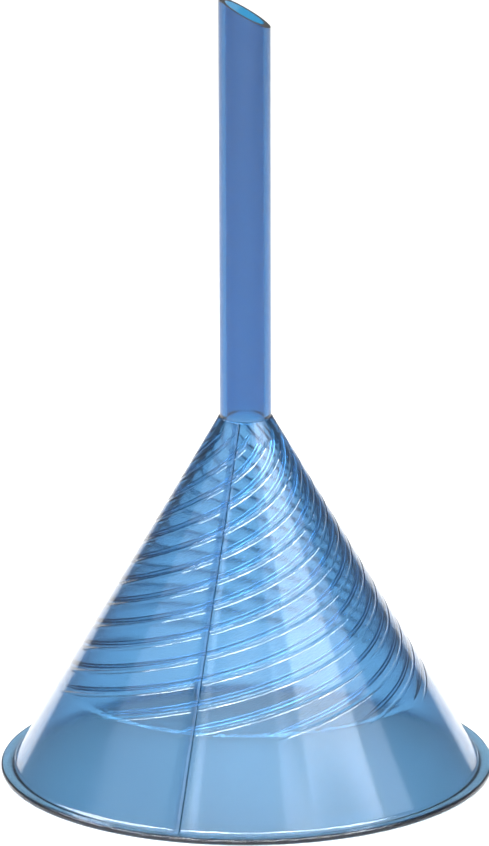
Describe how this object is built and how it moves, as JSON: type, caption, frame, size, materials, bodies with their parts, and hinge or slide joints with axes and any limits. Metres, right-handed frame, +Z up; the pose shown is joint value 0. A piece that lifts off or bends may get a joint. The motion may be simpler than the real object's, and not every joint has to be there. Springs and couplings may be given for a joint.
{
  "type": "filter funnel",
  "caption": "One-piece clear plastic filter funnel: sixty-degree cone with flat rim, inside spiral ribs, an outside vent rib and a straight stem with a bevelled tip.",
  "frame": {"origin": "on the funnel's axis, in the plane of the rim's face that it stands on", "axes": "+Z up the stem, +X towards the low side of the bevelled tip"},
  "size_m": [0.075, 0.075, 0.1193],
  "materials": {
    "clear_plastic": "smooth clear moulded plastic with a light blue tint"
  },
  "bodies": {
    "root": {"rim_flange": "clear_plastic", "plain_skirt": "clear_plastic", "cone_wall": "clear_plastic", "neck": "clear_plastic", "stem": "clear_plastic", "vent_rib": "clear_plastic", "spiral_rib_01": "clear_plastic", "spiral_rib_02": "clear_plastic", "spiral_rib_03": "clear_plastic", "spiral_rib_04": "clear_plastic", "spiral_rib_05": "clear_plastic", "spiral_rib_06": "clear_plastic", "spiral_rib_07": "clear_plastic", "spiral_rib_08": "clear_plastic", "spiral_rib_09": "clear_plastic", "spiral_rib_10": "clear_plastic", "spiral_rib_11": "clear_plastic", "spiral_rib_12": "clear_plastic"}
  },
  "joints": []
}
